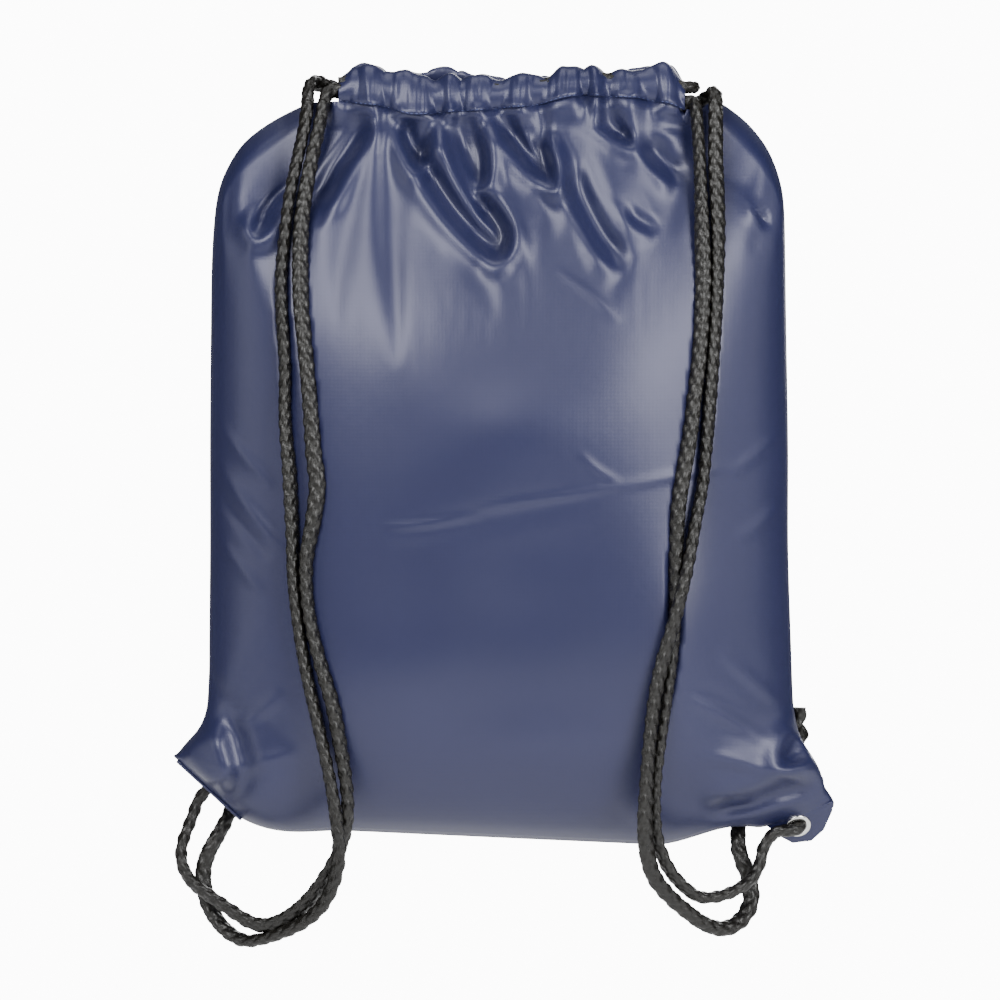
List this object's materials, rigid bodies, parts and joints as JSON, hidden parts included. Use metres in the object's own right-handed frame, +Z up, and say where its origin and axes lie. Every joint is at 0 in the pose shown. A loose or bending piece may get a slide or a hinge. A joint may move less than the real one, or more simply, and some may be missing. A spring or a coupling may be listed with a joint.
{
  "type": "drawstring backpack",
  "caption": "Filled drawstring sack with a gathered cord casing at the mouth, paired cord straps down the front and metal eyelets in the bottom corners.",
  "frame": {"origin": "middle of the mouth opening at the top edge of the casing, where the bag hangs from", "axes": "+Z up, away from the bag's bottom; -Y is the side with the cord straps, which lies against the wearer's back; +X is to the right of someone looking at that side"},
  "size_m": [0.344, 0.1159, 0.4518],
  "materials": {
    "nylon": "thin glossy plain-weave nylon, navy blue",
    "thread": "matching sewing thread",
    "cord": "glossy black braided cord",
    "nickel": "bright nickel plating"
  },
  "bodies": {
    "bag": {"front_panel": "nylon", "back_panel": "nylon", "front_casing": "nylon", "back_casing": "nylon", "left_side_seam": "nylon", "right_side_seam": "nylon", "bottom_seam": "nylon", "left_corner_reinforcement": "nylon", "right_corner_reinforcement": "nylon", "front_casing_stitching": "thread", "back_casing_stitching": "thread", "left_eyelet": "nickel", "right_eyelet": "nickel", "left_eyelet_washer": "nickel", "right_eyelet_washer": "nickel", "left_cord_casing_run": "cord", "right_cord_casing_run": "cord", "left_cord_eyelet_lead": "cord", "left_cord_back_lead": "cord", "right_cord_eyelet_lead": "cord", "right_cord_back_lead": "cord", "left_cord_knot": "cord", "right_cord_knot": "cord"},
    "left_strap": {"left_strap_outer_strand": "cord", "left_strap_inner_strand": "cord"},
    "right_strap": {"right_strap_outer_strand": "cord", "right_strap_inner_strand": "cord"}
  },
  "joints": [
    {"name": "left_strap_swing", "type": "hinge", "parent": "bag", "child": "left_strap", "pos_m": [-0.1, -0.0113, -0.0143], "axis": [-0.1679, 0.0494, -0.9846], "range_deg": [0, 30]},
    {"name": "right_strap_swing", "type": "hinge", "parent": "bag", "child": "right_strap", "pos_m": [0.112, -0.0108, -0.0145], "axis": [-0.0625, -0.0231, 0.9978], "range_deg": [0, 50]}
  ]
}
